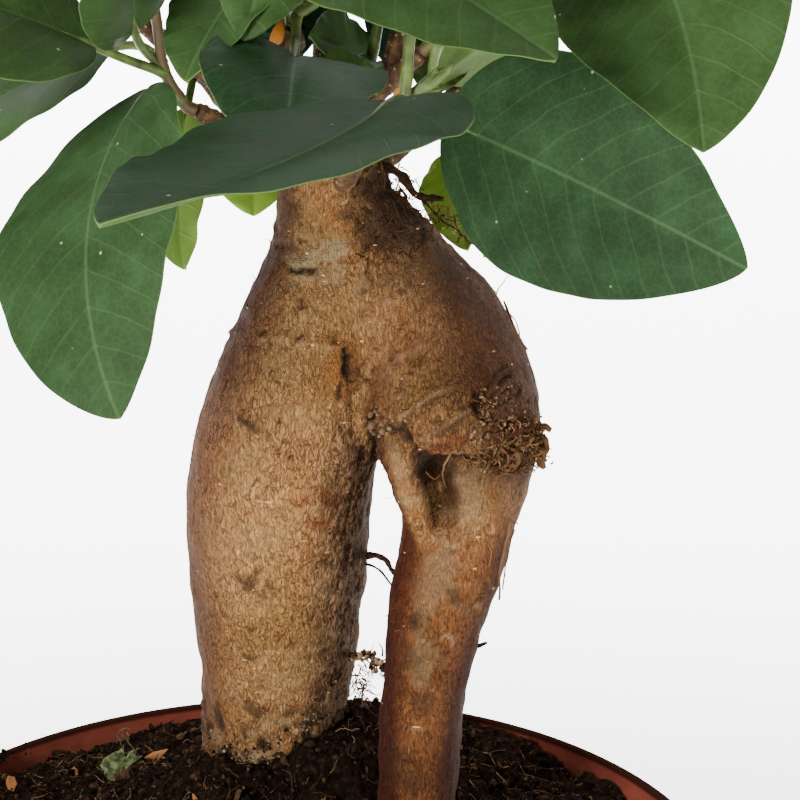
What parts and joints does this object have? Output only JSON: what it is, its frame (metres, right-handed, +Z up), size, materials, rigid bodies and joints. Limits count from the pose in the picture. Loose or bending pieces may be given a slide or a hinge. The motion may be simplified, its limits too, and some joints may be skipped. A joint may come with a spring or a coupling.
{
  "type": "ficus ginseng bonsai",
  "caption": "Ficus ginseng bonsai: a pot-bellied trunk on two root legs with thick glossy leaves, growing in a round plastic nursery pot of peat.",
  "frame": {"origin": "centre of the pot's underside, on the surface that it stands on", "axes": "+Z up along the pot's axis; +X to the right and +Y away from the viewer when the two root legs are seen side by side"},
  "size_m": [0.1552, 0.1767, 0.3289],
  "materials": {
    "pot": "moulded terracotta-coloured plastic, satin",
    "soil": "moist dark peat with bark fibres, matte",
    "bark": "thin tan-brown bark with fine fissures, matte",
    "leaf": "leathery dark green leaf with a waxy sheen",
    "dry_leaf": "withered grey-green leaf, matte",
    "bark_chip": "red-brown bark, matte"
  },
  "bodies": {
    "root": {"pot": "pot", "soil": "soil", "leaf_scrap": "dry_leaf", "bark_chip": "bark_chip", "trunk": "bark", "shoot_left": "leaf", "shoot_front": "leaf", "shoot_middle": "leaf", "shoot_right": "leaf", "shoot_centre": "leaf", "shoot_back_left": "leaf", "shoot_back_right": "leaf", "shoot_far_left": "leaf", "shoot_low_front": "leaf", "shoot_top_left": "leaf", "shoot_top_right": "leaf", "shoot_rear": "leaf"}
  },
  "joints": []
}
